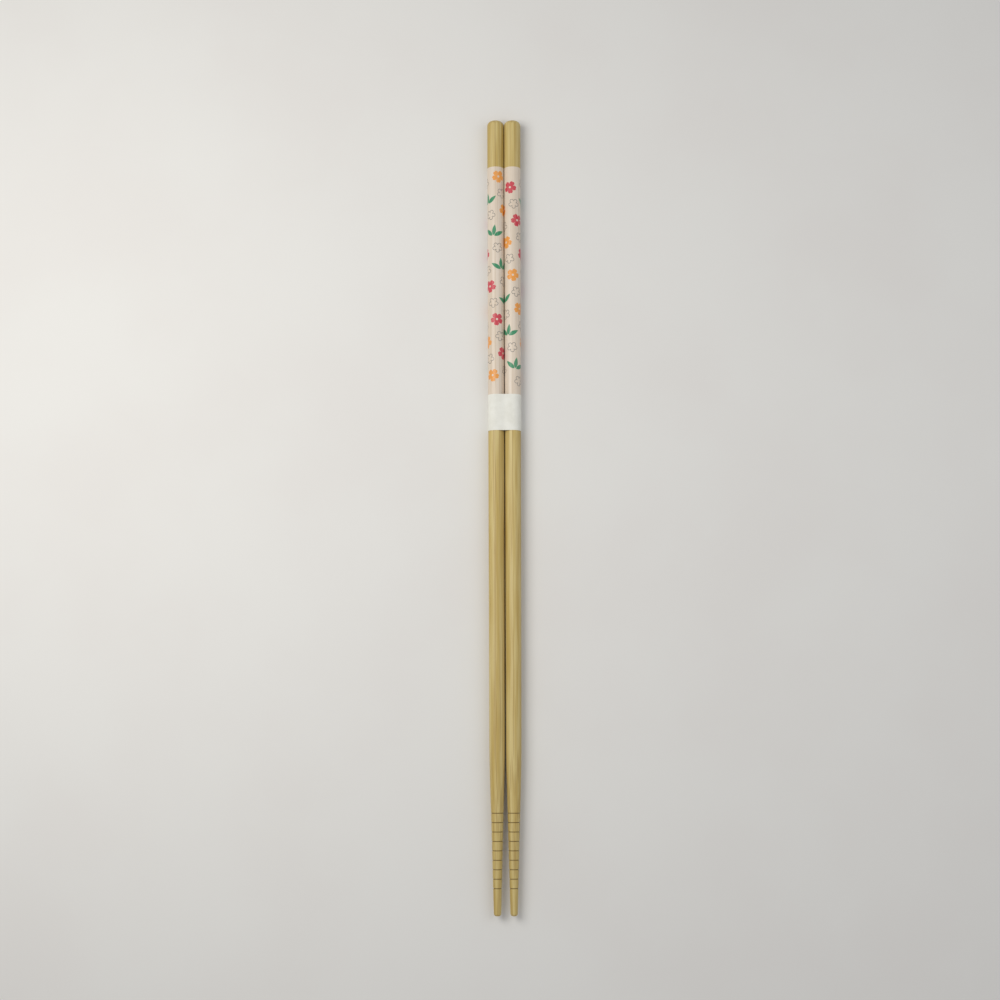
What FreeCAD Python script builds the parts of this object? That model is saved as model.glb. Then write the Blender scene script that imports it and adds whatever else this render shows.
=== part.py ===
import FreeCAD, Part
import enum
import math
import os
import Sketcher

# A pair of turned bamboo cooking chopsticks, held side by side by a paper band.
# The pair lies on a table at Z = 0, heads towards +Y and tips towards -Y, centred over the origin.
# Millimetres throughout. Every size is a cell of the sheet, and the features read it from there.

SIZES = [
    ("stickLength", 330.0, "whole length of one chopstick"),
    ("headDiameter", 7.0, "thickest end, held in the hand"),
    ("shoulderDiameter", 6.25, "where the slow taper meets the fast one"),
    ("tipDiameter", 2.9, "end that picks up food"),
    ("taperLength", 62.0, "fast taper, from the shoulder to the tip"),
    ("blendLength", 6.0, "how far each side of the shoulder is rounded over"),
    ("headRounding", 2.0, "rounded rim of the head"),
    ("tipRounding", 1.0, "rounded rim of the tip"),
    ("grooveCount", 9, "grip rings cut round the tip"),
    ("grooveFromTip", 10.8, "centre of the lowest ring"),
    ("groovePitch", 3.7, "ring to ring"),
    ("grooveWidth", 0.5, "mouth of a ring's V"),
    ("grooveDepth", 0.25, "bottom of a ring's V, below the taper's surface"),
    ("pairGap", 0.1, "between the two heads"),
    ("tipPitch", 6.6, "axis to axis at the tips, as the thinner ends lie a little closer together"),
    ("bandFromHead", 118.7, "upper edge of the band"),
    ("bandWidth", 15.2, "along the sticks"),
    ("paperThickness", 0.12, "one layer of the band"),
    ("bandClearance", 0.03, "paper to bamboo at the band's upper edge"),
    ("lapLength", 5.0, "overlap where the band's ends are glued"),
    ("lapRunOut", 0.6, "length in which the outer flap drops below the inner one"),
    ("glueGap", 0.02, "between the two flaps"),
]

# Sizes that several features share, worked out from the cells above.
TAPER_PER_LENGTH = (
    "(Sizes.headDiameter - Sizes.shoulderDiameter) / (Sizes.stickLength - Sizes.taperLength)"
)
STICK_RADIUS_AT_BAND = f"(Sizes.headDiameter - Sizes.bandFromHead * {TAPER_PER_LENGTH}) / 2"
BAND_INNER_RADIUS = f"({STICK_RADIUS_AT_BAND} + Sizes.bandClearance)"
BAND_OUTER_RADIUS = f"({BAND_INNER_RADIUS} + Sizes.paperThickness)"
BAND_DEPTH = f"({BAND_OUTER_RADIUS} + Sizes.glueGap + Sizes.paperThickness)"
AXIS_HEIGHT = f"max({BAND_DEPTH}; Sizes.headDiameter / 2)"
HEAD_PITCH = "(Sizes.headDiameter + Sizes.pairGap)"
PITCH_PER_LENGTH = f"({HEAD_PITCH} - Sizes.tipPitch) / Sizes.stickLength"
MIDDLE_PITCH = f"({HEAD_PITCH} + Sizes.tipPitch) / 2"
BAND_PITCH = f"({HEAD_PITCH} - Sizes.bandFromHead * {PITCH_PER_LENGTH})"

SKETCH_NORMAL = FreeCAD.Vector(0, 0, 1)
SAME_PLACE = 1e-6  # two places closer than this are one


class SketchPoint(enum.IntEnum):
    """The points of a sketch element, by the numbers that constraints know them by."""

    START = 1
    END = 2
    CENTRE = 3


class SketchAxis(enum.IntEnum):
    """The sketch's own axes, by the numbers that constraints know them by."""

    ACROSS = -1
    UPRIGHT = -2


START, END, CENTRE = SketchPoint
ORIGIN = (SketchAxis.ACROSS, START)


def make_sheet(doc):
    """The spreadsheet that holds the driving sizes, one alias to a row."""
    sheet = doc.addObject("Spreadsheet::Sheet", "Sizes")
    for row, (alias, value, note) in enumerate(SIZES, start=1):
        sheet.set(f"A{row}", note)
        sheet.set(f"B{row}", str(value))
        sheet.setAlias(f"B{row}", alias)
    doc.recompute()
    return sheet


def at(x, y):
    """A point of a sketch."""
    return FreeCAD.Vector(x, y, 0)


class Outline:
    """A sketch on one of its body's origin planes, drawn from formulas of the sheet."""

    def __init__(self, body, name, plane_role):
        self.sketch = body.newObject("Sketcher::SketchObject", name)
        plane = next(f for f in body.Origin.OriginFeatures if f.Role == plane_role)
        self.sketch.AttachmentSupport = (plane, [""])
        self.sketch.MapMode = "FlatFace"

    def value(self, formula):
        """The number that a formula of the sheet gives now."""
        return float(self.sketch.evalExpression(formula))

    def line(self, start, end, construction=False):
        return self.sketch.addGeometry(Part.LineSegment(start, end), construction)

    def arc(self, centre, radius, start_angle, end_angle):
        """An arc drawn anticlockwise, with its angles in radians."""
        circle = Part.Circle(centre, SKETCH_NORMAL, radius)
        return self.sketch.addGeometry(Part.ArcOfCircle(circle, start_angle, end_angle), False)

    def relate(self, kind, *places):
        """A constraint without a size, such as Coincident or Horizontal."""
        self.sketch.addConstraint(Sketcher.Constraint(kind, *places))

    def join(self, *pairs):
        """Each pair is an element with its point, and the element and point that it meets."""
        for first, first_point, second, second_point in pairs:
            self.relate("Coincident", first, first_point, second, second_point)

    def measure(self, name, kind, *places, formula):
        """A constraint whose size follows a formula of the sheet."""
        constraint = Sketcher.Constraint(kind, *places, self.value(formula))
        index = self.sketch.addConstraint(constraint)
        self.sketch.renameConstraint(index, name)
        self.sketch.setExpression(f"Constraints.{name}", formula)


def revolve(body, kind, name, outline):
    """A Revolution or Groove of the outline, all the way round the stick's own axis."""
    feature = body.newObject(f"PartDesign::{kind}", name)
    feature.Profile = outline.sketch
    feature.ReferenceAxis = (outline.sketch, ["V_Axis"])
    feature.Angle = 360.0
    body.Document.recompute()
    return feature


def draw_stick_profile(body):
    """Half of the stick's length section: head face, slow taper, blend, fast taper, tip face."""
    outline = Outline(body, "StickProfile", "XY_Plane")
    half_length = outline.value("Sizes.stickLength / 2")
    head_radius = outline.value("Sizes.headDiameter / 2")
    shoulder_radius = outline.value("Sizes.shoulderDiameter / 2")
    tip_radius = outline.value("Sizes.tipDiameter / 2")
    blend_length = outline.value("Sizes.blendLength")

    head_centre = at(0, half_length)
    head_rim = at(head_radius, half_length)
    corner = at(shoulder_radius, outline.value("Sizes.taperLength") - half_length)
    tip_rim = at(tip_radius, -half_length)
    tip_centre = at(0, -half_length)

    # The blend is the arc that touches both tapers at blendLength from their corner.
    towards_head = (head_rim - corner).normalize()
    towards_tip = (tip_rim - corner).normalize()
    blend_top = corner + towards_head * blend_length
    blend_bottom = corner + towards_tip * blend_length
    half_turn = (towards_head * -1).getAngle(towards_tip) / 2
    blend_radius = blend_length / math.tan(half_turn)
    inwards = at(-towards_head.y, towards_head.x)
    blend_centre = blend_top + inwards * blend_radius
    top_angle = math.atan2(blend_top.y - blend_centre.y, blend_top.x - blend_centre.x)
    bottom_angle = math.atan2(blend_bottom.y - blend_centre.y, blend_bottom.x - blend_centre.x)

    head_face = outline.line(head_centre, head_rim)
    slow_taper = outline.line(head_rim, blend_top)
    blend = outline.arc(blend_centre, blend_radius, bottom_angle, top_angle)
    fast_taper = outline.line(blend_bottom, tip_rim)
    tip_face = outline.line(tip_rim, tip_centre)
    axis = outline.line(tip_centre, head_centre)
    shoulder = outline.sketch.addGeometry(Part.Point(corner), True)

    outline.join(
        (head_face, END, slow_taper, START),
        (fast_taper, END, tip_face, START),
        (tip_face, END, axis, START),
        (axis, END, head_face, START),
    )
    outline.relate("Tangent", slow_taper, END, blend, END)
    outline.relate("Tangent", blend, START, fast_taper, START)
    outline.relate("PointOnObject", axis, START, SketchAxis.UPRIGHT)
    outline.relate("PointOnObject", axis, END, SketchAxis.UPRIGHT)
    outline.relate("Horizontal", head_face)
    outline.relate("Horizontal", tip_face)
    outline.relate("PointOnObject", shoulder, START, slow_taper)
    outline.relate("PointOnObject", shoulder, START, fast_taper)
    outline.measure(
        "headLevel", "DistanceY", *ORIGIN, axis, END, formula="Sizes.stickLength / 2"
    )
    outline.measure(
        "tipLevel", "DistanceY", axis, START, *ORIGIN, formula="Sizes.stickLength / 2"
    )
    outline.measure(
        "headRadius", "DistanceX", head_face, START, head_face, END, formula="Sizes.headDiameter / 2"
    )
    outline.measure(
        "tipRadius", "DistanceX", tip_face, END, tip_face, START, formula="Sizes.tipDiameter / 2"
    )
    outline.measure(
        "shoulderRadius", "DistanceX", *ORIGIN, shoulder, START, formula="Sizes.shoulderDiameter / 2"
    )
    outline.measure(
        "shoulderLevel", "DistanceY", tip_face, START, shoulder, START, formula="Sizes.taperLength"
    )
    outline.measure(
        "blendReach", "Distance", shoulder, START, blend, END, formula="Sizes.blendLength"
    )
    return outline


def draw_groove_cutters(body):
    """A triangle for each grip ring: its point sinks into the fast taper, its base stands clear."""
    outline = Outline(body, "GrooveCutters", "XY_Plane")
    tip_level = -outline.value("Sizes.stickLength / 2")
    taper_bottom = at(outline.value("Sizes.tipDiameter / 2"), tip_level)
    taper_top = at(
        outline.value("Sizes.shoulderDiameter / 2"), tip_level + outline.value("Sizes.taperLength")
    )
    along = (taper_top - taper_bottom).normalize()
    outwards = at(along.y, -along.x)
    depth = outline.value("Sizes.grooveDepth")
    width = outline.value("Sizes.grooveWidth")

    surface = outline.line(taper_bottom, taper_top, construction=True)
    outline.measure(
        "tipLevel", "DistanceY", surface, START, *ORIGIN, formula="Sizes.stickLength / 2"
    )
    outline.measure(
        "tipRadius", "DistanceX", *ORIGIN, surface, START, formula="Sizes.tipDiameter / 2"
    )
    outline.measure(
        "shoulderRadius", "DistanceX", *ORIGIN, surface, END, formula="Sizes.shoulderDiameter / 2"
    )
    outline.measure(
        "shoulderLevel", "DistanceY", surface, START, surface, END, formula="Sizes.taperLength"
    )

    # A base as far outside the surface as the point is inside it is twice as wide as the groove.
    first_ring = None
    for ring in range(int(outline.value("Sizes.grooveCount"))):
        from_tip = f"Sizes.grooveFromTip + {ring} * Sizes.groovePitch"
        middle = taper_bottom + along * outline.value(from_tip)
        point = middle - outwards * depth
        base_top = middle + outwards * depth + along * width
        base_bottom = middle + outwards * depth - along * width
        upper_flank = outline.line(point, base_top)
        base = outline.line(base_top, base_bottom)
        lower_flank = outline.line(base_bottom, point)
        outline.join(
            (upper_flank, END, base, START),
            (base, END, lower_flank, START),
            (lower_flank, END, upper_flank, START),
        )
        outline.relate("Parallel", base, surface)
        outline.relate("Equal", upper_flank, lower_flank)
        outline.measure(
            f"ring{ring}Level", "DistanceY", surface, START, upper_flank, START, formula=from_tip
        )
        outline.measure(
            f"ring{ring}Depth", "Distance", upper_flank, START, surface, formula="Sizes.grooveDepth"
        )
        if first_ring is None:
            first_ring = (upper_flank, base)
            outline.measure("baseReach", "Distance", base, START, surface, formula="Sizes.grooveDepth")
            outline.measure("baseWidth", "Distance", base, formula="2 * Sizes.grooveWidth")
        else:
            outline.relate("Equal", first_ring[0], upper_flank)
            outline.relate("Equal", first_ring[1], base)
    return outline


def round_rim(body, base, name, level, formula):
    """Rounds the rim of the flat face that lies at this level along the stick."""
    rims = [
        f"Edge{number}"
        for number, edge in enumerate(base.Shape.Edges, start=1)
        if isinstance(edge.Curve, Part.Circle) and abs(edge.Curve.Center.y - level) < SAME_PLACE
    ]
    fillet = body.newObject("PartDesign::Fillet", name)
    fillet.Base = (base, rims)
    fillet.setExpression("Radius", formula)
    body.Document.recompute()
    return fillet


def make_chopstick(doc, label, side):
    """One turned stick. side is -1 for the left one and 1 for the right one."""
    body = doc.addObject("PartDesign::Body", label)
    body.Label = label
    stick = revolve(body, "Revolution", "TurnedStick", draw_stick_profile(body))
    head_level = float(body.evalExpression("Sizes.stickLength / 2"))
    stick = round_rim(
        body, stick, "HeadRim", head_level, "min(Sizes.headRounding; 0.45 * Sizes.headDiameter)"
    )
    stick = round_rim(
        body, stick, "TipRim", -head_level, "min(Sizes.tipRounding; 0.45 * Sizes.tipDiameter)"
    )
    whole_volume = stick.Shape.Volume
    grooved = revolve(body, "Groove", "GripRings", draw_groove_cutters(body))
    if not grooved.Shape.Volume < whole_volume:
        raise RuntimeError(f"{label}: the grip rings cut nothing")
    body.setExpression("Placement.Base.x", f"{side} * {MIDDLE_PITCH} / 2")
    body.setExpression("Placement.Base.z", AXIS_HEIGHT)
    body.setExpression("Placement.Rotation.Angle", f"{-side} * atan({PITCH_PER_LENGTH} / 2)")
    return body


def draw_band_section(body):
    """The paper strip seen end on: round both sticks, with its ends lapped underneath."""
    outline = Outline(body, "BandSection", "XZ_Plane")
    half_pitch = outline.value(f"{BAND_PITCH} / 2")
    inner = outline.value(BAND_INNER_RADIUS)
    outer = outline.value(BAND_OUTER_RADIUS)
    flap_top = outer + outline.value("Sizes.glueGap")
    flap_bottom = flap_top + outline.value("Sizes.paperThickness")
    lap_end = outline.value("Sizes.lapLength / 2")
    drop_start = lap_end + outline.value("Sizes.lapRunOut")
    left, right = at(-half_pitch, 0), at(half_pitch, 0)
    down, up, down_again = -math.pi / 2, math.pi / 2, 3 * math.pi / 2

    flap_edge = outline.line(at(-lap_end, -flap_top), at(-lap_end, -flap_bottom))
    flap_under = outline.line(
        at(-lap_end, -flap_bottom), at(drop_start, -flap_bottom)
    )
    drop_under = outline.line(at(drop_start, -flap_bottom), at(half_pitch, -outer))
    right_outside = outline.arc(right, outer, down, up)
    top_outside = outline.line(at(half_pitch, outer), at(-half_pitch, outer))
    left_outside = outline.arc(left, outer, up, down_again)
    tuck_under = outline.line(at(-half_pitch, -outer), at(lap_end, -outer))
    tuck_edge = outline.line(at(lap_end, -outer), at(lap_end, -inner))
    tuck_over = outline.line(at(lap_end, -inner), at(-half_pitch, -inner))
    left_inside = outline.arc(left, inner, up, down_again)
    top_inside = outline.line(at(-half_pitch, inner), at(half_pitch, inner))
    right_inside = outline.arc(right, inner, down, up)
    drop_over = outline.line(at(half_pitch, -inner), at(drop_start, -flap_top))
    flap_over = outline.line(at(drop_start, -flap_top), at(-lap_end, -flap_top))

    outline.join(
        (flap_edge, END, flap_under, START),
        (flap_under, END, drop_under, START),
        (drop_under, END, right_outside, START),
        (right_outside, END, top_outside, START),
        (top_outside, END, left_outside, START),
        (left_outside, END, tuck_under, START),
        (tuck_under, END, tuck_edge, START),
        (tuck_edge, END, tuck_over, START),
        (tuck_over, END, left_inside, END),
        (left_inside, START, top_inside, START),
        (top_inside, END, right_inside, END),
        (right_inside, START, drop_over, START),
        (drop_over, END, flap_over, START),
        (flap_over, END, flap_edge, START),
        (right_inside, CENTRE, right_outside, CENTRE),
        (left_inside, CENTRE, left_outside, CENTRE),
    )
    for arc in (right_outside, left_outside, right_inside, left_inside):
        outline.relate("Vertical", arc, START, arc, CENTRE)
        outline.relate("Vertical", arc, END, arc, CENTRE)
    for level_line in (flap_under, tuck_under, tuck_over, flap_over):
        outline.relate("Horizontal", level_line)
    outline.relate("Vertical", flap_edge)
    outline.relate("Vertical", tuck_edge)
    outline.relate("Vertical", flap_under, END, flap_over, START)
    outline.relate("PointOnObject", right_outside, CENTRE, SketchAxis.ACROSS)
    outline.relate("PointOnObject", left_outside, CENTRE, SketchAxis.ACROSS)
    outline.measure(
        "rightAxis", "DistanceX", *ORIGIN, right_outside, CENTRE, formula=f"{BAND_PITCH} / 2"
    )
    outline.measure(
        "leftAxis", "DistanceX", left_outside, CENTRE, *ORIGIN, formula=f"{BAND_PITCH} / 2"
    )
    outline.measure("rightInner", "Radius", right_inside, formula=BAND_INNER_RADIUS)
    outline.measure("rightOuter", "Radius", right_outside, formula=BAND_OUTER_RADIUS)
    outline.relate("Equal", right_inside, left_inside)
    outline.relate("Equal", right_outside, left_outside)
    outline.measure(
        "tuckReach", "DistanceX", *ORIGIN, tuck_edge, START, formula="Sizes.lapLength / 2"
    )
    outline.measure(
        "flapReach", "DistanceX", flap_edge, START, *ORIGIN, formula="Sizes.lapLength / 2"
    )
    outline.measure(
        "runOut", "DistanceX", tuck_edge, START, flap_under, END, formula="Sizes.lapRunOut"
    )
    outline.measure(
        "glueLine", "DistanceY", flap_over, START, tuck_under, END, formula="Sizes.glueGap"
    )
    outline.measure(
        "flapThickness", "DistanceY", flap_edge, END, flap_edge, START, formula="Sizes.paperThickness"
    )
    return outline


def make_paper_band(doc):
    """The strip of paper that holds the pair together."""
    body = doc.addObject("PartDesign::Body", "paper_band")
    body.Label = "paper_band"
    outline = draw_band_section(body)
    strip = body.newObject("PartDesign::Pad", "PaperStrip")
    strip.Profile = outline.sketch
    strip.SideType = "Symmetric"
    strip.setExpression("Length", "Sizes.bandWidth")
    doc.recompute()
    body.setExpression(
        "Placement.Base.y", "Sizes.stickLength / 2 - Sizes.bandFromHead - Sizes.bandWidth / 2"
    )
    body.setExpression("Placement.Base.z", AXIS_HEIGHT)
    return body


def check(doc, bodies):
    """Stops before anything is written if a feature failed or a solid isn't sound."""
    for item in doc.Objects:
        if "Invalid" in item.State or "Error" in item.State:
            raise RuntimeError(f"{item.Label} failed: {item.State}")
        if item.TypeId == "Sketcher::SketchObject" and item.solve() != 0:
            raise RuntimeError(f"the sketch {item.Label} has no solution")
    for body in bodies:
        if body.Shape.isNull() or not body.Shape.isValid() or len(body.Shape.Solids) != 1:
            raise RuntimeError(f"{body.Label} isn't one sound solid")


def main():
    doc = FreeCAD.newDocument("ChopstickPair")
    make_sheet(doc)
    bodies = [
        make_chopstick(doc, "chopstick_left", -1),
        make_chopstick(doc, "chopstick_right", 1),
        make_paper_band(doc),
    ]
    doc.recompute()
    check(doc, bodies)
    os.makedirs("parts", exist_ok=True)
    for body in bodies:
        body.Shape.exportStep(f"parts/{body.Label}.step")
        print(f"{body.Label}: {body.Shape.Volume:.1f} cubic mm")


main()
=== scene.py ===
import bpy
import math
from mathutils import Euler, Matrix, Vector


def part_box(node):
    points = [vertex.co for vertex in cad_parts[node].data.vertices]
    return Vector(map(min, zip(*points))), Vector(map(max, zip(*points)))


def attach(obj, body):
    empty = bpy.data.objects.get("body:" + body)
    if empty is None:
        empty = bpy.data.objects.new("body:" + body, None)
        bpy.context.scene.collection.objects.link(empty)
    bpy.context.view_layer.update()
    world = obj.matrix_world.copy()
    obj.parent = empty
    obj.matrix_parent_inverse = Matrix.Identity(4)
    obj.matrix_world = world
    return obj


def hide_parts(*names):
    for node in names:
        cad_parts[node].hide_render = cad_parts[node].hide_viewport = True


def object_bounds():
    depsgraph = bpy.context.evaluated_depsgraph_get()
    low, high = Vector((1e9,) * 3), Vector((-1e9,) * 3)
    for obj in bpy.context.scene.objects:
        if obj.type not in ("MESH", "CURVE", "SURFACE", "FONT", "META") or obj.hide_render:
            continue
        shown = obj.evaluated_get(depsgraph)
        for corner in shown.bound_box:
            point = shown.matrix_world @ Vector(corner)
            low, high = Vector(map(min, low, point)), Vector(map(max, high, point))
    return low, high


# A pair of bamboo cooking chopsticks lying in a paper band, dressed round the fixed model.
# Lengths are in metres. Along a stick, "fromHead" counts from its thick end and "rise" from its tip.
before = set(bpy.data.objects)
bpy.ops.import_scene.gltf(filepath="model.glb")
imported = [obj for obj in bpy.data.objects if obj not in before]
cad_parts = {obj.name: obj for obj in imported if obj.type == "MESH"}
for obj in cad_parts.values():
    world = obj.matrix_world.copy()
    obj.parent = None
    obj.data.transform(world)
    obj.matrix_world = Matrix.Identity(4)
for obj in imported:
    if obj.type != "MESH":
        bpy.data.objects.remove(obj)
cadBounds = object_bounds()
mm = 0.001
crispAngle = 60  # degrees; a steeper edge, such as a cut edge of paper, isn't shaded round
print("model loaded:", ", ".join(sorted(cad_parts)))


class Signal:
    # an output socket that can stand in a Python sum
    def __init__(self, net, socket):
        self.net = net
        self.socket = socket

    def out(self, name):
        return Signal(self.net, self.socket.node.outputs[name])

    def __add__(self, other):
        return self.net.sum("ADD", self, other)

    def __sub__(self, other):
        return self.net.sum("SUBTRACT", self, other)

    def __rsub__(self, other):
        return self.net.sum("SUBTRACT", other, self)

    def __mul__(self, other):
        return self.net.sum("MULTIPLY", self, other)

    def __truediv__(self, other):
        return self.net.sum("DIVIDE", self, other)

    def __pow__(self, other):
        return self.net.sum("POWER", self, other)

    __radd__ = __add__
    __rmul__ = __mul__


class Net:
    # a node tree, which every node enters through make()
    def __init__(self, tree):
        self.tree = tree
        tree.nodes.clear()

    def make(self, kind, settings=None, sockets=None, out=0):
        node = self.tree.nodes.new(kind)
        for name, value in (settings or {}).items():
            setattr(node, name, value)
        for name, value in (sockets or {}).items():
            if isinstance(value, Signal):
                self.tree.links.new(value.socket, node.inputs[name])
            else:
                node.inputs[name].default_value = value
        return Signal(self, node.outputs[out]) if len(node.outputs) else node

    def sum(self, operation, *parts):
        return self.make("ShaderNodeMath", {"operation": operation}, dict(enumerate(parts)))

    def vector(self, x=0.0, y=0.0, z=0.0):
        return self.make("ShaderNodeCombineXYZ", None, {0: x, 1: y, 2: z})

    def split(self, vector):
        x = self.make("ShaderNodeSeparateXYZ", None, {0: vector})
        return x, x.out("Y"), x.out("Z")

    def ease(self, value, low, high):
        # 0 at low, 1 at high, smooth between; low may be the larger one
        sockets = {0: value, 1: low, 2: high, 3: 0.0, 4: 1.0}
        return self.make("ShaderNodeMapRange", {"interpolation_type": "SMOOTHSTEP"}, sockets)

    def mix(self, factor, first, second):
        return self.make("ShaderNodeMix", {"data_type": "RGBA"}, {0: factor, 6: first, 7: second}, 2)

    def noise(self, place, scale, detail):
        return self.make("ShaderNodeTexNoise", None, {"Vector": place, "Scale": scale, "Detail": detail})

    def bump(self, strength, distance, height):
        sockets = {"Strength": strength, "Distance": distance, "Height": height}
        return self.make("ShaderNodeBump", None, sockets)

    def attribute(self, name):
        return self.make("ShaderNodeAttribute", {"attribute_name": name}, None, "Fac")


def paint(red, green, blue):
    # a screen colour, 0 to 255, as the linear colour that shaders take
    def linear(part):
        part = part / 255
        return part / 12.92 if part <= 0.04045 else ((part + 0.055) / 1.055) ** 2.4

    return (linear(red), linear(green), linear(blue), 1.0)


def newMaterial(name):
    material = bpy.data.materials.new(name)
    material.use_nodes = True
    return material, Net(material.node_tree)


def coverWith(net, **look):
    sockets = {name.replace("_", " "): value for name, value in look.items()}
    shader = net.make("ShaderNodeBsdfPrincipled", None, sockets)
    net.make("ShaderNodeOutputMaterial", None, {"Surface": shader})


# Bamboo: bundles of dark fibre run straight along the stick through a pale ground, so a turned side shows
# them as streaks and a sawn end as dots.
grain = {
    "bundleGap": 0.62 * mm,
    "bundleEdge": (0.34, 0.16),  # share of the gap, from nothing to full
    "wander": 0.30 * mm,
    "wanderLength": 55 * mm,
    "wanderApart": 17.0,  # how far along the noise the second wander is read, so that the two differ
    "hair": (0.13 * mm, 11 * mm),  # across, along
    "patch": (1.9 * mm, 48 * mm),
    "roughness": 0.6,
}


def readGrain(net):
    place = net.make("ShaderNodeTexCoord", None, None, "Object")
    x, y, z = net.split(place)

    def noise(across, along, detail):
        where = net.vector(x / across, y / along, z / across)
        sockets = {"Vector": where, "Scale": 1.0, "Detail": detail, "Roughness": grain["roughness"]}
        return net.make("ShaderNodeTexNoise", None, sockets)

    def drift(offset):
        sockets = {"W": y / grain["wanderLength"] + offset, "Scale": 1.0, "Detail": 1.0}
        wave = net.make("ShaderNodeTexNoise", {"noise_dimensions": "1D"}, sockets)
        return (wave - 0.5) * (2 * grain["wander"])

    bundleX = (x + drift(0.0)) / grain["bundleGap"]
    bundleZ = (z + drift(grain["wanderApart"])) / grain["bundleGap"]
    section = net.vector(bundleX, bundleZ)
    sockets = {"Vector": section, "Scale": 1.0, "Randomness": 0.9}
    nearest = net.make("ShaderNodeTexVoronoi", {"voronoi_dimensions": "2D"}, sockets, "Distance")
    return {
        "bundle": net.ease(nearest, *grain["bundleEdge"]),
        "hair": noise(*grain["hair"], 3.0),
        "patch": noise(*grain["patch"], 2.0),
    }


bamboo = {
    "pale": paint(209, 189, 126),
    "deep": paint(188, 161, 87),
    "deepEdge": (0.32, 0.68),  # the noise at which the colour sets in and is full
    "hair": paint(172, 140, 77),
    "hairEdge": (0.50, 0.78),
    "hairShare": 0.55,
    "bundle": paint(152, 118, 57),
    "bundleShare": 0.50,
    "endGrain": paint(186, 148, 88),
    "endGrainShare": (0.25, 0.5),  # everywhere, and more on a bundle
    # painted shade and dirt, darkening the bottom of each ring's cut
    "ringCut": paint(96, 66, 30),
    "ringShadeAndDirtEdge": (0.0, 0.75),
    "ringShadeAndDirtShare": 0.72,
    "bumpDepth": 0.05 * mm,
}


def makeBamboo():
    material, net = newMaterial("turnedBamboo")
    seen = readGrain(net)
    tone = net.mix(net.ease(seen["patch"], *bamboo["deepEdge"]), bamboo["pale"], bamboo["deep"])
    tone = net.mix(net.ease(seen["hair"], *bamboo["hairEdge"]) * bamboo["hairShare"], tone, bamboo["hair"])
    tone = net.mix(seen["bundle"] * bamboo["bundleShare"], tone, bamboo["bundle"])
    endGrain = net.attribute("endGrain")
    everywhere, onBundle = bamboo["endGrainShare"]
    tone = net.mix(endGrain * (everywhere + onBundle * seen["bundle"]), tone, bamboo["endGrain"])
    # each ring's cut is painted darker towards its bottom: painted shade, with some dirt
    cut = net.attribute("ringCut")
    tone = net.mix(net.ease(cut, *bamboo["ringShadeAndDirtEdge"]) * bamboo["ringShadeAndDirtShare"], tone, bamboo["ringCut"])
    roughness = 0.42 + 0.16 * seen["hair"] + 0.08 * seen["bundle"] + 0.2 * cut + 0.15 * endGrain
    height = seen["hair"] * 0.7 - seen["bundle"] * 0.4
    relief = net.bump(0.35, bamboo["bumpDepth"], height)
    coverWith(net, Base_Color=tone, Roughness=roughness, Normal=relief, Coat_Weight=0.12, Coat_Roughness=0.3)
    return material


printGround = {
    "fromHead": 20.9 * mm,
    "toHead": 126 * mm,  # the lower edge is under the band
    "film": 0.020 * mm,
    "sink": 0.012 * mm,  # the film's inside lies this far under the bamboo's surface
    "colour": paint(226, 212, 195),
    "shade": paint(210, 191, 167),
    "shadeEdge": (0.3, 0.7),
    "shadeShare": 0.5,
    "hairEdge": (0.52, 0.8),
    "hairShare": 0.35,
    "bundleShare": 0.16,
    "strips": 2,
}


def makePrintGround():
    material, net = newMaterial("creamPrint")
    seen = readGrain(net)
    shaded = net.ease(seen["patch"], *printGround["shadeEdge"]) * printGround["shadeShare"]
    tone = net.mix(shaded, printGround["colour"], printGround["shade"])
    hairs = net.ease(seen["hair"], *printGround["hairEdge"]) * printGround["hairShare"]
    tone = net.mix(hairs, tone, bamboo["hair"])
    tone = net.mix(seen["bundle"] * printGround["bundleShare"], tone, bamboo["bundle"])
    roughness = 0.40 + 0.14 * seen["hair"]
    height = seen["hair"] * 0.5 - seen["bundle"] * 0.3
    relief = net.bump(0.25, bamboo["bumpDepth"], height)
    coverWith(net, Base_Color=tone, Roughness=roughness, Normal=relief, Coat_Weight=0.2, Coat_Roughness=0.25)
    return material


# Where the ink is starved, some of the ground's cream shows.
starvedInk = {
    "hairEdge": (0.45, 0.85),
    "hairShare": 0.25,
    "patchEdge": (0.35, 0.8),
    "patchShare": 0.1,
    "bumpDepth": 0.04 * mm,
}


def makeInk(name, colour):
    material, net = newMaterial(name)
    seen = readGrain(net)
    starved = net.ease(seen["hair"], *starvedInk["hairEdge"]) * starvedInk["hairShare"]
    starved = starved + net.ease(seen["patch"], *starvedInk["patchEdge"]) * starvedInk["patchShare"]
    tone = net.mix(starved, colour, printGround["colour"])
    relief = net.bump(0.2, starvedInk["bumpDepth"], seen["hair"])
    coverWith(net, Base_Color=tone, Roughness=0.38 + 0.14 * seen["hair"], Normal=relief, Coat_Weight=0.2)
    return material


paper = {
    "white": paint(237, 236, 227),
    "grey": paint(220, 218, 206),
    "fleck": 0.35 * mm,
    "fleckShare": 0.35,
    "cloud": 4 * mm,
    "cloudEdge": (0.35, 0.75),
    "cloudShare": 0.45,
    "bumpDepth": 0.04 * mm,
}


def makePaper():
    material, net = newMaterial("whitePaper")
    place = net.make("ShaderNodeTexCoord", None, None, "Object")
    flecks = net.noise(place, 1 / paper["fleck"], 4.0)
    clouds = net.noise(place, 1 / paper["cloud"], 3.0)
    greyed = paper["fleckShare"] * flecks + paper["cloudShare"] * net.ease(clouds, *paper["cloudEdge"])
    tone = net.mix(greyed, paper["white"], paper["grey"])
    relief = net.bump(0.3, paper["bumpDepth"], flecks)
    coverWith(net, Base_Color=tone, Roughness=0.72 + 0.15 * flecks, Normal=relief)
    return material


print("materials ready")


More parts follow.
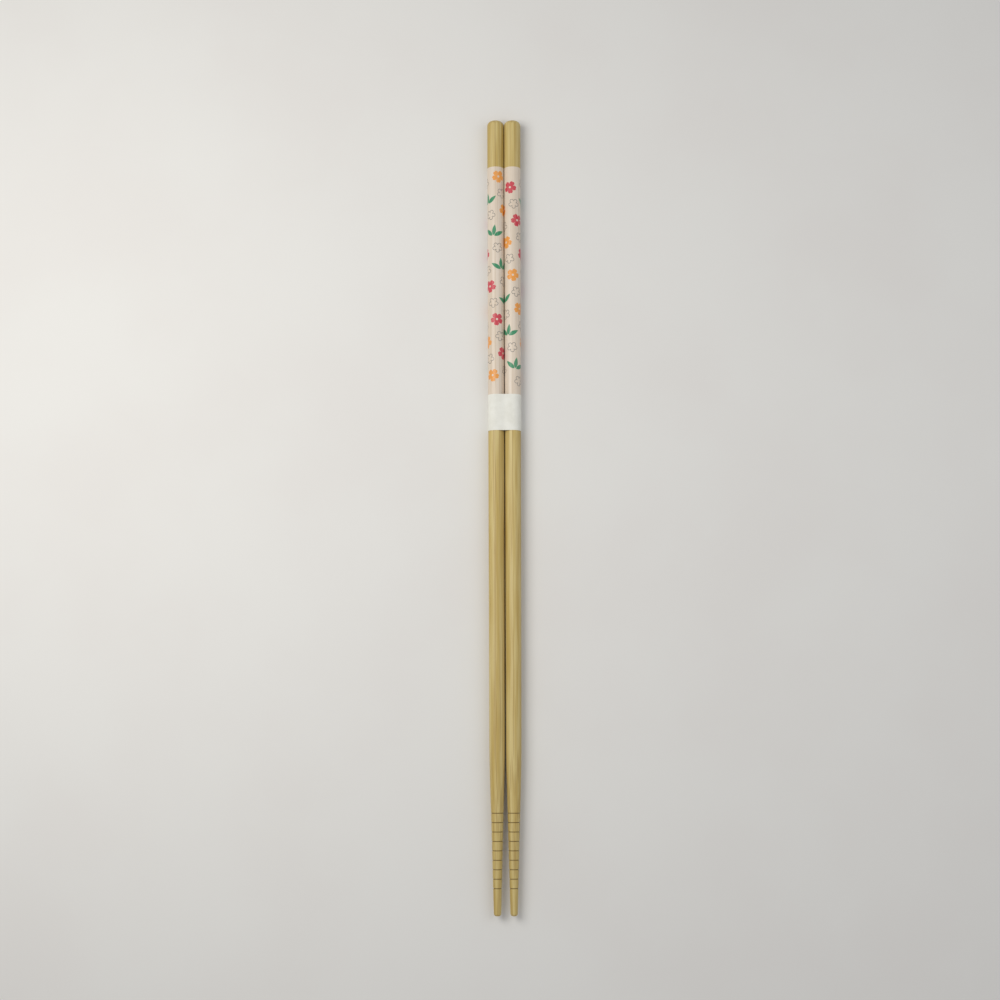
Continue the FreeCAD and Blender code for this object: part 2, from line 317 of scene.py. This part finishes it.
def nodeGroup(name, inputs):
    # a geometry tree with its named inputs; gives the tree and a signal for each input
    group = bpy.data.node_groups.new(name, "GeometryNodeTree")
    group.interface.new_socket(name="Geometry", in_out="OUTPUT", socket_type="NodeSocketGeometry")
    group.interface.new_socket(name="Geometry", in_out="INPUT", socket_type="NodeSocketGeometry")
    for label, kind in inputs.items():
        group.interface.new_socket(name=label, in_out="INPUT", socket_type="NodeSocket" + kind)
    net = Net(group)
    entry = net.make("NodeGroupInput")
    return group, net, {label: entry.out(label) for label in ["Geometry", *inputs]}


def closeGroup(net, geometry, material):
    solid = net.make("GeometryNodeRealizeInstances", None, {0: geometry})
    painted = net.make("GeometryNodeSetMaterial", None, {"Geometry": solid, "Material": material})
    net.make("NodeGroupOutput", None, {"Geometry": painted})


def keep(net, geometry, name, value, domain="POINT", kind="FLOAT"):
    settings = {"data_type": kind, "domain": domain}
    sockets = {"Geometry": geometry, "Name": name, "Value": value}
    return net.make("GeometryNodeStoreNamedAttribute", settings, sockets)


def growPiece(name, mesh, group, values, extras=()):
    # runs the tree on the mesh and keeps the result as a plain mesh
    piece = bpy.data.objects.new(name, mesh)
    bpy.context.scene.collection.objects.link(piece)
    tree = piece.modifiers.new("shape", "NODES")
    tree.node_group = group
    for item in group.interface.items_tree:
        if item.in_out == "INPUT" and item.name in values:
            tree[item.identifier] = values[item.name]
    for kind, settings in extras:
        modifier = piece.modifiers.new(kind.lower(), kind)
        for label, value in settings.items():
            setattr(modifier, label, value)
    seen = piece.evaluated_get(bpy.context.evaluated_depsgraph_get())
    plain = bpy.data.meshes.new_from_object(seen)
    piece.modifiers.clear()
    piece.data = plain
    plain.name = name
    plain.set_sharp_from_angle(angle=math.radians(crispAngle))
    bpy.data.meshes.remove(mesh)
    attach(piece, "root")
    return piece


# A stick's axis is level and leans a little across, so its place is its x at the head and its x per length.
axisInputs = {"Head X": "Float", "Head Y": "Float", "Lean": "Float", "Axis Z": "Float"}


def roundAxis(net, given, place, angle, radius):
    # the point this far from the axis, at this angle from straight up
    axisX = given["Head X"] + (given["Head Y"] - place) * given["Lean"]
    x = axisX + radius * net.sum("SINE", angle)
    return net.vector(x, place, given["Axis Z"] + radius * net.sum("COSINE", angle))


# Turned work: an outline is swept round the stick's axis. Its points hold the radius in x and place in y.
turning = {
    "weld": 0.0005 * mm,  # closes the seam and the points on the axis
    "stripMargin": 0.05,  # kept clear along each strip of the bake map, as a share of it
    "alongEnd": 0.9999,  # under 1, so that the outline's last point is still in the last strip
}


def turningTree():
    inputs = {"Sides": "Int", "Strips": "Float", **axisInputs, "Material": "Material"}
    group, net, given = nodeGroup("turnedWork", inputs)
    outline = given["Geometry"]
    points = net.make("GeometryNodeAttributeDomainSize", {"component": "MESH"}, {0: outline}, "Point Count")
    across = given["Sides"] + 1
    size = {"Size X": 1.0, "Size Y": 1.0, "Vertices X": across, "Vertices Y": points}
    sheet = net.make("GeometryNodeMeshGrid", None, size)
    x, y = net.split(net.make("GeometryNodeInputPosition"))[:2]
    turn = x + 0.5
    row = net.make("FunctionNodeFloatToInt", {"rounding_mode": "ROUND"}, {0: (y + 0.5) * (points - 1)})

    def fromOutline(kind, value):
        sockets = {"Geometry": outline, "Value": value, "Index": row}
        return net.make("GeometryNodeSampleIndex", {"data_type": kind, "domain": "POINT"}, sockets)

    def named(label):
        field = net.make("GeometryNodeInputNamedAttribute", {"data_type": "FLOAT"}, {"Name": label})
        return fromOutline("FLOAT", field)

    for label in ("ringCut", "endGrain"):
        sheet = keep(net, sheet, label, named(label))

    # the bake map lays the surface out as strips, side by side, so that its cells are nearly square
    along = named("along") * given["Strips"]
    faceAlong = net.make("GeometryNodeFieldOnDomain", {"data_type": "FLOAT", "domain": "FACE"}, {0: along})
    strip = net.sum("FLOOR", faceAlong)
    edge = turning["stripMargin"]
    mapX = (along - strip) * (1 - 2 * edge) + edge
    mapY = (strip + edge + turn * (1 - 2 * edge)) / given["Strips"]
    sheet = keep(net, sheet, "OFBake", net.vector(mapX, mapY), "CORNER", "FLOAT2")

    radius, place = net.split(fromOutline("FLOAT_VECTOR", net.make("GeometryNodeInputPosition")))[:2]
    wrapped = roundAxis(net, given, place, turn * math.tau, radius)
    shape = net.make("GeometryNodeSetPosition", None, {"Geometry": sheet, "Position": wrapped})
    shape = net.make("GeometryNodeMergeByDistance", None, {"Geometry": shape, "Distance": turning["weld"]})
    shape = net.make("GeometryNodeSetShadeSmooth", None, {"Geometry": shape})
    closeGroup(net, shape, given["Material"])
    return group


def outlineMesh(rows):
    # rows are (radius, y, ringCut, endGrain); along runs from 0 to just under 1 over the outline's length
    mesh = bpy.data.meshes.new("outline")
    mesh.from_pydata([(row[0], row[1], 0) for row in rows], [(i, i + 1) for i in range(len(rows) - 1)], [])
    walked = [0.0]
    for before, after in zip(rows, rows[1:]):
        walked.append(walked[-1] + math.dist(before[:2], after[:2]))
    columns = {
        "ringCut": [row[2] for row in rows],
        "endGrain": [row[3] for row in rows],
        "along": [length / walked[-1] * turning["alongEnd"] for length in walked],
    }
    for label, values in columns.items():
        mesh.attributes.new(label, "FLOAT", "POINT").data.foreach_set("value", values)
    return mesh


stick = {
    "headDiameter": 7.0 * mm,
    "shoulderDiameter": 6.25 * mm,
    "tipDiameter": 2.9 * mm,
    "taperLength": 62 * mm,
    "shoulderBlend": 6 * mm,
    "headRounding": 2.0 * mm,
    "tipRounding": 1.0 * mm,
    "ringCount": 9,
    "firstRing": 10.8 * mm,
    "ringPitch": 3.7 * mm,
    "ringWidth": 0.5 * mm,
    "ringDepth": 0.25 * mm,
    "headPitch": 7.1 * mm,  # from axis to axis
    "tipPitch": 6.6 * mm,
    "rowGap": 3 * mm,  # between rows of points along a taper
    "shoulderSteps": 4,  # rows each side of the shoulder
    "ringRows": (-1.3, -1, -0.8, -0.45, -0.15, 0, 0.15, 0.45, 0.8, 1, 1.3),  # in halves of a ring's width
    "tipSteps": 8,  # rows round the tip's rim
    "headSteps": 12,
    "tipFaceRows": (0.0, 0.5),  # on the flat ends, as shares of their radius
    "headFaceRows": (0.66, 0.33, 0.0),
    "sides": 96,
    "strips": 4,
}


def stickRadius(rise, length):
    # the turned taper without its rings
    shoulder = stick["taperLength"]
    blend = stick["shoulderBlend"]
    tip, mid, head = (stick[name] / 2 for name in ("tipDiameter", "shoulderDiameter", "headDiameter"))

    def fast(place):
        return tip + (mid - tip) * place / shoulder

    def slow(place):
        return mid + (head - mid) * (place - shoulder) / (length - shoulder)

    if rise <= shoulder - blend:
        return fast(rise)
    if rise >= shoulder + blend:
        return slow(rise)
    share = (rise - shoulder + blend) / (2 * blend)
    ends = fast(shoulder - blend) * (1 - share) ** 2 + slow(shoulder + blend) * share ** 2
    return ends + 2 * share * (1 - share) * mid


def ringCut(rise):
    # 1 at the bottom of a ring's V, 0 outside it
    nearest = round((rise - stick["firstRing"]) / stick["ringPitch"])
    nearest = min(max(nearest, 0), stick["ringCount"] - 1)
    away = abs(rise - stick["firstRing"] - nearest * stick["ringPitch"])
    return max(0.0, 1 - away / (stick["ringWidth"] / 2))


def stickRows(place):
    length = place["headY"] - place["tipY"]
    tipRound, headRound = stick["tipRounding"], stick["headRounding"]
    tipFace = stickRadius(tipRound, length) - tipRound
    headFace = stickRadius(length - headRound, length) - headRound
    rows = [(tipFace * share, 0.0, 0.0, 1.0) for share in stick["tipFaceRows"]]
    steps = stick["tipSteps"]
    for step in range(steps):
        angle = math.radians(90 * step / steps)
        radius = tipFace + tipRound * math.sin(angle)
        rows.append((radius, tipRound * (1 - math.cos(angle)), 0.0, 1 - step / steps))

    stops = int((length - tipRound - headRound) / stick["rowGap"])
    rises = {tipRound + (length - tipRound - headRound) * stop / stops for stop in range(stops + 1)}
    steps = stick["shoulderSteps"]
    for step in range(-steps, steps + 1):
        rises.add(stick["taperLength"] + stick["shoulderBlend"] * step / steps)
    for ring in range(stick["ringCount"]):
        middle = stick["firstRing"] + ring * stick["ringPitch"]
        near = {rise for rise in rises if abs(rise - middle) < stick["ringWidth"]}
        rises -= near
        for share in stick["ringRows"]:
            rises.add(middle + share * stick["ringWidth"] / 2)
    for rise in sorted(rises):
        cut = ringCut(rise)
        rows.append((stickRadius(rise, length) - cut * stick["ringDepth"], rise, cut, 0.0))

    steps = stick["headSteps"]
    for step in range(1, steps + 1):
        angle = math.radians(90 * step / steps)
        rise = length - headRound * (1 - math.sin(angle))
        rows.append((headFace + headRound * math.cos(angle), rise, 0.0, step / steps))
    rows += [(headFace * share, length, 0.0, 1.0) for share in stick["headFaceRows"]]
    return [(radius, place["tipY"] + rise, cut, end) for radius, rise, cut, end in rows]


def stickPlace(side, across):
    # across is -1 for the left stick and 1 for the right one
    low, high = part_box("chopstick_" + side)
    lean = (stick["tipPitch"] - stick["headPitch"]) / 2 / (high.y - low.y)
    return {
        "headX": across * stick["headPitch"] / 2,
        "lean": across * lean,
        "axisZ": (low.z + high.z) / 2,
        "headY": high.y,
        "tipY": low.y,
    }


def axisValues(place):
    return {
        "Head X": place["headX"],
        "Head Y": place["headY"],
        "Lean": place["lean"],
        "Axis Z": place["axisZ"],
    }


places = {"left": stickPlace("left", -1), "right": stickPlace("right", 1)}
turnedWork = turningTree()


def turn(name, rows, place, strips, material):
    values = {
        "Sides": stick["sides"],
        "Strips": float(strips),
        **axisValues(place),
        "Material": material,
    }
    return growPiece(name, outlineMesh(rows), turnedWork, values)


turnedBamboo = makeBamboo()
for side, place in places.items():
    piece = turn("bamboo_" + side, stickRows(place), place, stick["strips"], turnedBamboo)
    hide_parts("chopstick_" + side)
print("sticks turned")


def groundRows(place):
    # the film's outside from its lower edge to its upper one, then back along its inside
    length = place["headY"] - place["tipY"]
    low, high = length - printGround["toHead"], length - printGround["fromHead"]
    stops = int((high - low) / stick["rowGap"])
    rises = [low + (high - low) * stop / stops for stop in range(stops + 1)]
    outside = [(stickRadius(rise, length) + printGround["film"], rise) for rise in rises]
    inside = [(stickRadius(rise, length) - printGround["sink"], rise) for rise in (high, low)]
    return [(radius, place["tipY"] + rise, 0.0, 0.0) for radius, rise in [*outside, *inside, outside[0]]]


creamPrint = makePrintGround()
for side, place in places.items():
    piece = turn("print_ground_" + side, groundRows(place), place, printGround["strips"], creamPrint)
print("print ground laid")


# Motifs are drawn flat, x across the stick and y along it, and then wrapped round it along a helix.
def wrappingTree():
    inputs = {
        "Count": "Int",
        "First": "Float",
        "Rise": "Float",
        "First Turn": "Float",
        "Turn": "Float",
        "Tilt": "Float",
        "Seed": "Int",
        "Head Radius": "Float",
        "Taper": "Float",
        **axisInputs,
        "Material": "Material",
    }
    group, net, given = nodeGroup("wrappedMotifs", inputs)
    points = net.make("GeometryNodePoints", None, {"Count": given["Count"]})
    index = net.make("GeometryNodeInputIndex")
    start = net.vector(0.0, given["Head Y"] - given["First"] - index * given["Rise"], 0.0)
    points = net.make("GeometryNodeSetPosition", None, {"Geometry": points, "Position": start})
    sockets = {2: 0.0 - given["Tilt"], 3: given["Tilt"], "Seed": given["Seed"]}
    tilt = net.make("FunctionNodeRandomValue", {"data_type": "FLOAT"}, sockets, 1)
    sockets = {"Points": points, "Instance": given["Geometry"], "Rotation": net.vector(0.0, 0.0, tilt)}
    copies = net.make("GeometryNodeInstanceOnPoints", None, sockets)
    copies = keep(net, copies, "turn", given["First Turn"] + index * given["Turn"], "INSTANCE")
    flat = net.make("GeometryNodeRealizeInstances", None, {0: copies})
    x, y, z = net.split(net.make("GeometryNodeInputPosition"))
    radius = given["Head Radius"] - (given["Head Y"] - y) * given["Taper"]
    turned = net.make("GeometryNodeInputNamedAttribute", {"data_type": "FLOAT"}, {"Name": "turn"})
    wrapped = roundAxis(net, given, y, turned + x / radius, radius + z)
    shape = net.make("GeometryNodeSetPosition", None, {"Geometry": flat, "Position": wrapped})
    shape = net.make("GeometryNodeRemoveAttribute", None, {"Geometry": shape, "Name": "turn"})
    closeGroup(net, shape, given["Material"])
    return group


ink = {
    "top": 0.032 * mm,  # above the bamboo, so a little above the ground print
    "bottom": 0.008 * mm,
    "blossomRadius": 2.8 * mm,
    "blossomHeart": 0.17,  # open middle, as a share of the radius
    "blossomPoints": 90,
    "blossomRings": 7,
    "petals": 5,
    "petalFoot": 0.50,  # how far out two petals meet, as a share of the radius
    "petalPower": 0.5,  # under 1 makes a petal fuller
    "petalNotch": 0.10,
    "notchWidth": 0.07,  # as a share of a petal
    "leafLength": 4.6 * mm,
    "leafWidth": 1.7 * mm,
    "leafMiddle": 0.45,  # the share of its length that the rings of points close in on
    "leafSkew": 0.8,  # under 1 puts the widest place nearer the foot
    "leafPower": 0.9,  # under 1 makes a leaf fuller
    "leafPoints": 40,
    "leafRings": 12,
    "leafFan": 54,  # degrees between neighbouring leaves
    "leafFoot": 0.5 * mm,  # from the sprig's foot to each leaf, so that the leaves stay apart
    "lineRadius": 2.2 * mm,
    "lineWidth": 0.22 * mm,
    "linePoints": 160,
    "first": 25.2 * mm,
    "rise": 4.75 * mm,  # from one coloured motif to the next, towards the tip
    "turn": 137.5,  # degrees, the golden angle
    "count": 19,
    "tilt": 12,  # degrees either way
    "startTurn": {"left": 20, "right": 205},
    "seed": 11,
}

inkColours = {
    "orange": paint(232, 150, 48),
    "red": paint(200, 38, 62),
    "green": paint(38, 136, 92),
    "grey": paint(122, 115, 106),
}


def petalReach(angle, notch):
    # the blossom's edge at this angle, as a share of its radius; each round petal may have a small notch
    swing = (angle * ink["petals"] / math.tau) % 1 - 0.5
    petal = math.cos(math.pi * swing) ** ink["petalPower"]
    dent = notch * math.exp(-(swing / ink["notchWidth"]) ** 2)
    return ink["petalFoot"] + (1 - ink["petalFoot"]) * petal - dent


def ringOf(reaches):
    # a closed loop of points, at these distances from the middle
    steps = len(reaches)
    angles = [math.tau * step / steps for step in range(steps)]
    return [(reach * math.sin(angle), reach * math.cos(angle)) for reach, angle in zip(reaches, angles)]


def blossomEdge(radius, notch, steps):
    return [radius * petalReach(math.tau * step / steps, notch) for step in range(steps)]


def blossomLoops():
    # from the petals' edge inwards to the round open heart
    edge = blossomEdge(ink["blossomRadius"], ink["petalNotch"], ink["blossomPoints"])
    heart = ink["blossomRadius"] * ink["blossomHeart"]
    rings = ink["blossomRings"]
    shares = [ring / rings for ring in range(rings + 1)]
    return [ringOf([reach * (1 - share) + heart * share for reach in edge]) for share in shares]


def inset(loop, distance):
    # the loop moved inwards, square to its own line
    moved = []
    for step, (x, y) in enumerate(loop):
        (beforeX, beforeY), (afterX, afterY) = loop[step - 1], loop[(step + 1) % len(loop)]
        runX, runY = afterX - beforeX, afterY - beforeY
        length = math.hypot(runX, runY)
        moved.append((x + runY / length * distance, y - runX / length * distance))
    return moved


def leafLoops(turnDegrees):
    # a pointed leaf that stands off the sprig's foot, drawn towards the head and then turned; its points run
    # the same way round as the blossoms', so that its slab faces outwards too
    length, width, foot = ink["leafLength"], ink["leafWidth"], ink["leafFoot"]
    middle, points, rings = ink["leafMiddle"], ink["leafPoints"], ink["leafRings"]
    angle = math.radians(turnDegrees)
    loops = []
    for share in (1 - ring / rings for ring in range(rings)):
        loop = []
        for step in range(points):
            swing = math.tau * step / points
            reach = (1 - math.cos(swing)) / 2  # 0 at the foot, 1 at the point
            swell = math.sin(math.pi * reach ** ink["leafSkew"]) ** ink["leafPower"]
            x = math.copysign(swell, -math.sin(swing)) * width / 2 * share
            y = foot + length * (middle + (reach - middle) * share)
            turnedY = y * math.cos(angle) - x * math.sin(angle)
            loop.append((x * math.cos(angle) + y * math.sin(angle), turnedY - length / 2))
        loops.append(loop)
    return loops


def slabMesh(shapes):
    # each shape is loops of points from its edge inwards; it becomes a thin closed slab
    corners, faces = [], []
    for loops, filled in shapes:
        size = len(loops[0])
        base = len(corners)
        for height in (ink["top"], ink["bottom"]):
            for loop in loops:
                corners += [(x, y, height) for x, y in loop]
        under = size * len(loops)

        def ringFaces(first, second):
            for step in range(size):
                after = (step + 1) % size
                faces.append((first + step, first + after, second + after, second + step))

        for ring in range(len(loops) - 1):
            outer, inner = base + ring * size, base + (ring + 1) * size
            ringFaces(inner, outer)
            ringFaces(outer + under, inner + under)
        ringFaces(base, base + under)
        last = base + (len(loops) - 1) * size
        if filled:
            faces.append(tuple(last + step for step in reversed(range(size))))
            faces.append(tuple(last + under + step for step in range(size)))
        else:
            ringFaces(last + under, last)
    mesh = bpy.data.meshes.new("motif")
    mesh.from_pydata(corners, [], faces)
    return mesh


def blossom():
    return slabMesh([(blossomLoops(), False)])


def sprig():
    return slabMesh([(leafLoops(fan * ink["leafFan"]), True) for fan in (-1, 0, 1)])


def outlinedBlossom():
    edge = ringOf(blossomEdge(ink["lineRadius"], 0, ink["linePoints"]))
    return slabMesh([([edge, inset(edge, ink["lineWidth"])], False)])


wrappedMotifs = wrappingTree()
inks = {name: makeInk("ink_" + name, colour) for name, colour in inkColours.items()}
taper = (stick["headDiameter"] - stick["shoulderDiameter"]) / 2
taper /= places["left"]["headY"] - places["left"]["tipY"] - stick["taperLength"]

# Colour, how to draw it, its first place on the helix, how many places it steps to the next, and the degrees
# that it's turned on by, because the outlines climb opposite the coloured motifs.
motifs = [
    ("orange", blossom, 0, 3, 0),
    ("red", blossom, 1, 3, 0),
    ("green", sprig, 2, 3, 0),
    ("grey", outlinedBlossom, 0.5, 1, 180),
]


def printMotif(side, colour, draw, start, step, turnedOn, seed):
    place = places[side]
    turned = ink["startTurn"][side] + start * ink["turn"] + turnedOn
    values = {
        "Count": math.ceil((ink["count"] - start) / step),
        "First": ink["first"] + start * ink["rise"],
        "Rise": step * ink["rise"],
        "First Turn": math.radians(turned),
        "Turn": math.radians(step * ink["turn"]),
        "Tilt": math.radians(ink["tilt"]),
        "Seed": seed,
        "Head Radius": stick["headDiameter"] / 2,
        "Taper": taper,
        **axisValues(place),
        "Material": inks[colour],
    }
    piece = growPiece(f"print_{colour}_{side}", draw(), wrappedMotifs, values)


for side in places:
    for number, motif in enumerate(motifs):
        printMotif(side, *motif, ink["seed"] + number)
print("motifs printed")


# The band is one strip of paper that follows a path round both sticks, seen end on.
band = {
    "paper": 0.12 * mm,
    "lapLength": 5 * mm,
    "lapRunOut": 0.6 * mm,
    "sag": 0.24 * mm,  # into the valley between the sticks
    "sagWidth": 1.5 * mm,
    "crease": 0.06 * mm,
    "creaseScale": (220, 160, 130),  # noise steps to a metre: across, the slant and along
    "fadeDepth": 0.4 * mm,  # below the top, where the sag and the creases end
    "turnSteps": 24,  # of the path round each stick
    "along": 260,
    "across": 40,
}


def bandPath():
    low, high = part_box("paper_band")
    axisZ = places["left"]["axisZ"]
    radius = high.z - axisZ - band["paper"] / 2
    halfPitch = high.x - (high.z - axisZ)
    lap = band["lapLength"] / 2
    tucked = axisZ - radius
    flap = low.z + band["paper"] / 2
    points = [(lap, tucked)]
    steps = band["turnSteps"]
    for step in range(steps + 1):
        angle = math.pi * step / steps
        points.append((-halfPitch - radius * math.sin(angle), axisZ - radius * math.cos(angle)))
    for step in range(steps + 1):
        angle = math.pi * step / steps
        points.append((halfPitch + radius * math.sin(angle), axisZ + radius * math.cos(angle)))
    points += [(lap + band["lapRunOut"], flap), (-lap, flap)]
    mesh = bpy.data.meshes.new("bandPath")
    mesh.from_pydata([(x, 0, z) for x, z in points], [(i, i + 1) for i in range(len(points) - 1)], [])
    return mesh


def bandTree():
    inputs = {
        "Low Y": "Float",
        "High Y": "Float",
        "Top Z": "Float",
        "Sag": "Float",
        "Sag Width": "Float",
        "Crease": "Float",
        "Along": "Int",
        "Across": "Int",
        "Material": "Material",
    }
    group, net, given = nodeGroup("paperStrip", inputs)
    path = net.make("GeometryNodeMeshToCurve", None, {"Mesh": given["Geometry"]})
    size = {"Size X": 1.0, "Size Y": 1.0, "Vertices X": given["Along"], "Vertices Y": given["Across"]}
    sheet = net.make("GeometryNodeMeshGrid", None, size)
    x, y = net.split(net.make("GeometryNodeInputPosition"))[:2]
    sockets = {"Curves": path, "Factor": x + 0.5}
    spot = net.make("GeometryNodeSampleCurve", {"use_all_curves": True}, sockets, "Position")
    pathX, unused, pathZ = net.split(spot)
    placeY = given["Low Y"] + (y + 0.5) * (given["High Y"] - given["Low Y"])

    # only the top, where the paper spans the valley, sags and creases
    onTop = net.ease(pathZ, given["Top Z"] - band["fadeDepth"], given["Top Z"])
    valley = net.sum("EXPONENT", 0.0 - (pathX / given["Sag Width"]) ** 2.0)
    across, drift, along = band["creaseScale"]
    where = net.vector(pathX * across + placeY * drift, placeY * along)
    sockets = {"Vector": where, "Scale": 1.0, "Detail": 2.0}
    wrinkle = net.make("ShaderNodeTexNoise", {"noise_dimensions": "2D"}, sockets)
    lowered = onTop * (valley * given["Sag"] + (wrinkle - 0.5) * 2.0 * given["Crease"])
    spot = net.vector(pathX, placeY, pathZ - lowered)
    shape = net.make("GeometryNodeSetPosition", None, {"Geometry": sheet, "Position": spot})
    shape = net.make("GeometryNodeSetShadeSmooth", None, {"Geometry": shape})
    closeGroup(net, shape, given["Material"])
    return group


def makeBand():
    low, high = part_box("paper_band")
    values = {
        "Low Y": low.y,
        "High Y": high.y,
        "Top Z": high.z - band["paper"] / 2,
        "Sag": band["sag"],
        "Sag Width": band["sagWidth"],
        "Crease": band["crease"],
        "Along": band["along"],
        "Across": band["across"],
        "Material": makePaper(),
    }
    thickness = {"thickness": band["paper"], "offset": 0.0, "use_even_offset": True}
    piece = growPiece("paper_strip", bandPath(), bandTree(), values, [("SOLIDIFY", thickness)])
    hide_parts("paper_band")


makeBand()
print("band wrapped")

# A plain pale table top under soft light.
studio = {
    "floorSize": 3.0,
    "floorDrop": 0.02 * mm,
    "floor": paint(228, 226, 221),
    "floorWorn": paint(226, 223, 218),
    "cloudScale": 14.0,  # per metre
    "cloudEdge": (0.35, 0.7),
    "world": (0.94, 0.96, 1.0, 1.0),
    "worldStrength": 0.42,
    "lightAimY": 0.04,
    "key": {"place": (-0.26, 0.09, 0.40), "size": 0.30, "power": 1.3, "colour": (1.0, 0.98, 0.94)},
    "fill": {"place": (0.34, 0.05, 0.45), "size": 0.40, "power": 0.5, "colour": (0.97, 0.98, 1.0)},
}


def makeFloor():
    material, net = newMaterial("paleTop")
    place = net.make("ShaderNodeTexCoord", None, None, "Object")
    clouds = net.noise(place, studio["cloudScale"], 5.0)
    tone = net.mix(net.ease(clouds, *studio["cloudEdge"]), studio["floor"], studio["floorWorn"])
    coverWith(net, Base_Color=tone, Roughness=0.70 + 0.04 * clouds)
    half = studio["floorSize"] / 2
    level = cadBounds[0].z - studio["floorDrop"]
    mesh = bpy.data.meshes.new("floor")
    corners = [(-half, -half, level), (half, -half, level), (half, half, level), (-half, half, level)]
    mesh.from_pydata(corners, [], [(0, 1, 2, 3)])
    mesh.materials.append(material)
    floor = bpy.data.objects.new("floor", mesh)
    bpy.context.scene.collection.objects.link(floor)


def makeLight(name, settings):
    lamp = bpy.data.lights.new(name, "AREA")
    lamp.size = settings["size"]
    lamp.energy = settings["power"]
    lamp.color = settings["colour"]
    light = bpy.data.objects.new(name, lamp)
    light.location = settings["place"]
    aim = Vector((0, studio["lightAimY"], 0))
    light.rotation_euler = (aim - light.location).to_track_quat("-Z", "Y").to_euler()
    bpy.context.scene.collection.objects.link(light)


def makeWorld():
    world = bpy.data.worlds.new("studio")
    bpy.context.scene.world = world
    world.use_nodes = True
    net = Net(world.node_tree)
    sockets = {"Color": studio["world"], "Strength": studio["worldStrength"]}
    glow = net.make("ShaderNodeBackground", None, sockets)
    net.make("ShaderNodeOutputWorld", None, {"Surface": glow})


makeFloor()
makeWorld()
makeLight("key", studio["key"])
makeLight("fill", studio["fill"])
bpy.context.scene.view_settings.view_transform = "Standard"
print("studio lit")

# The photograph looks almost straight down, from a little on the tips' side.
shot = {
    "aim": (-1.96 * mm, 2.4 * mm, 3.6 * mm),
    "distance": 0.7006,
    "lean": 8.2,  # degrees from straight down
    "focalPixels": 1700,  # for a picture 1000 pixels wide
    "picturePixels": 1000,
    "sensorWidth": 36,  # millimetres, as Blender takes it
    "nearClip": 0.01,
    "roll": -0.13,  # degrees
}


def makeCamera():
    lens = bpy.data.cameras.new("camera")
    lens.sensor_width = shot["sensorWidth"]
    lens.lens = lens.sensor_width * shot["focalPixels"] / shot["picturePixels"]
    lens.clip_start = shot["nearClip"]
    camera = bpy.data.objects.new("camera", lens)
    camera.rotation_euler = Euler((math.radians(shot["lean"]), 0, math.radians(shot["roll"])))
    back = camera.rotation_euler.to_matrix() @ Vector((0, 0, shot["distance"]))
    camera.location = Vector(shot["aim"]) + back
    bpy.context.scene.collection.objects.link(camera)
    bpy.context.scene.camera = camera


makeCamera()
print("camera placed")
